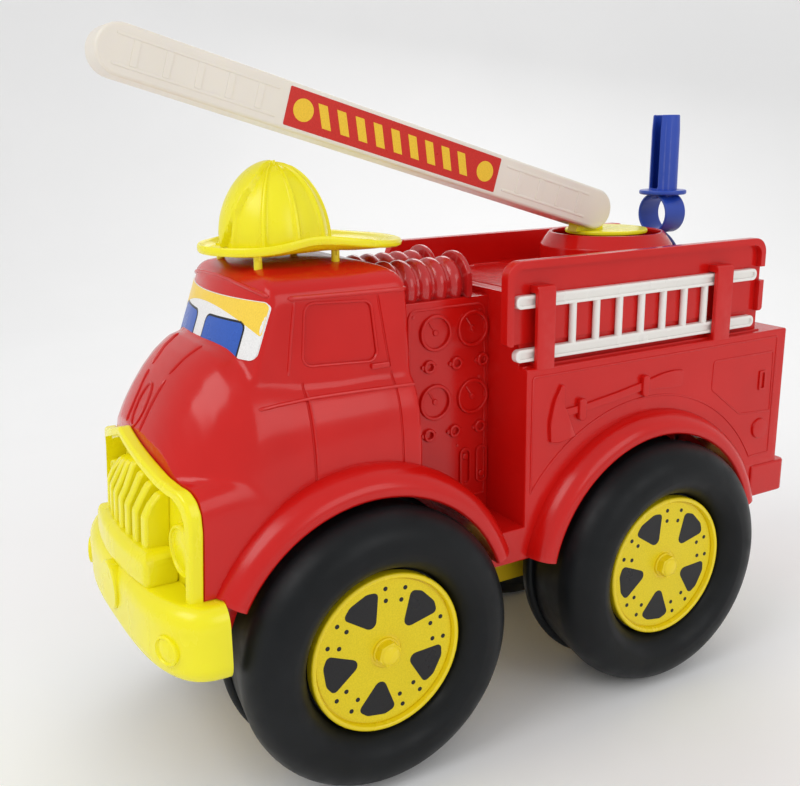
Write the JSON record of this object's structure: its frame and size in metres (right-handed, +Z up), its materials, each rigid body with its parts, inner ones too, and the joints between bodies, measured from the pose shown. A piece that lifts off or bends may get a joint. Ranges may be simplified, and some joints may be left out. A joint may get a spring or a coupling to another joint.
{
  "type": "toy fire engine",
  "caption": "Large moulded toy fire engine with free-running wheels, a swivelling and tilting boom, side ladders, a lift-off helmet and a hose nozzle.",
  "frame": {"origin": "on the ground under the middle of the length and the width", "axes": "+Z up, the front of the engine faces -Y, +X is the engine's left side"},
  "size_m": [0.278, 0.606, 0.5311],
  "materials": {
    "red_plastic": "glossy moulded red",
    "yellow_plastic": "glossy moulded lemon yellow",
    "wheel_yellow": "glossy warm yellow",
    "wheel_print": "printed label, yellow with dark windows",
    "chassis_yellow": "moulded warm yellow",
    "black_tyre": "satin black blow-moulded",
    "white_plastic": "glossy white",
    "ivory_plastic": "satin off-white",
    "blue_plastic": "satin blue",
    "screen_print": "printed sticker, white with a yellow band",
    "boom_print": "printed sticker, red with a yellow border",
    "steel": "bright zinc"
  },
  "bodies": {
    "truck": {"chassis": "chassis_yellow", "cab_shell": "red_plastic", "windscreen_decal": "screen_print", "grille_bumper": "yellow_plastic", "rear_body": "red_plastic", "hose_reels": "red_plastic", "front_axle": "steel", "rear_axle": "steel", "axle_push_nuts": "steel", "body_screws": "steel"},
    "wheel_front_left": {"tyre_front_left": "black_tyre", "hub_front_left": "wheel_yellow", "hub_label_front_left": "wheel_print", "hub_nut_front_left": "yellow_plastic"},
    "wheel_front_right": {"tyre_front_right": "black_tyre", "hub_front_right": "wheel_yellow", "hub_label_front_right": "wheel_print", "hub_nut_front_right": "yellow_plastic"},
    "wheel_rear_left": {"tyre_rear_left": "black_tyre", "hub_rear_left": "wheel_yellow", "hub_label_rear_left": "wheel_print", "hub_nut_rear_left": "yellow_plastic"},
    "wheel_rear_right": {"tyre_rear_right": "black_tyre", "hub_rear_right": "wheel_yellow", "hub_label_rear_right": "wheel_print", "hub_nut_rear_right": "yellow_plastic"},
    "table": {"turntable": "yellow_plastic", "turntable_washer": "steel", "turntable_screw": "steel", "boom_pivot_pin": "steel"},
    "boom": {"aerial_boom": "ivory_plastic", "boom_label_left": "boom_print", "boom_label_right": "boom_print"},
    "ladder_left": {"side_ladder_left": "white_plastic"},
    "ladder_right": {"side_ladder_right": "white_plastic"},
    "hat": {"helmet": "yellow_plastic"},
    "nozzle": {"hose_nozzle": "blue_plastic", "nozzle_arm": "blue_plastic", "nozzle_foot": "blue_plastic"}
  },
  "joints": [
    {"name": "front_left_wheel_spin", "type": "hinge", "parent": "truck", "child": "wheel_front_left", "pos_m": [0.097, -0.143, 0.105], "axis": [1, 0, 0], "continuous": true},
    {"name": "front_right_wheel_spin", "type": "hinge", "parent": "truck", "child": "wheel_front_right", "pos_m": [-0.097, -0.143, 0.105], "axis": [1, 0, 0], "continuous": true},
    {"name": "rear_left_wheel_spin", "type": "hinge", "parent": "truck", "child": "wheel_rear_left", "pos_m": [0.097, 0.127, 0.105], "axis": [1, 0, 0], "continuous": true},
    {"name": "rear_right_wheel_spin", "type": "hinge", "parent": "truck", "child": "wheel_rear_right", "pos_m": [-0.097, 0.127, 0.105], "axis": [1, 0, 0], "continuous": true},
    {"name": "turntable_swivel", "type": "hinge", "parent": "truck", "child": "table", "pos_m": [0, 0.16, 0.371], "axis": [0, 0, 1], "range_deg": [-140, 140]},
    {"name": "boom_tilt", "type": "hinge", "parent": "table", "child": "boom", "pos_m": [0, 0.136, 0.393], "axis": [-1, 0, 0], "range_deg": [-2, 45]},
    {"name": "left_ladder_slide", "type": "slide", "parent": "truck", "child": "ladder_left", "axis": [0, 1, 0], "range_m": [0, 0.035]},
    {"name": "right_ladder_slide", "type": "slide", "parent": "truck", "child": "ladder_right", "axis": [0, 1, 0], "range_m": [0, 0.035]},
    {"name": "helmet_lift", "type": "slide", "parent": "truck", "child": "hat", "axis": [0, 0, 1], "range_m": [0, 0.014]},
    {"name": "nozzle_swivel", "type": "hinge", "parent": "truck", "child": "nozzle", "pos_m": [0, 0.25, 0.345], "axis": [0, 0, 1], "range_deg": [-90, 90]}
  ]
}
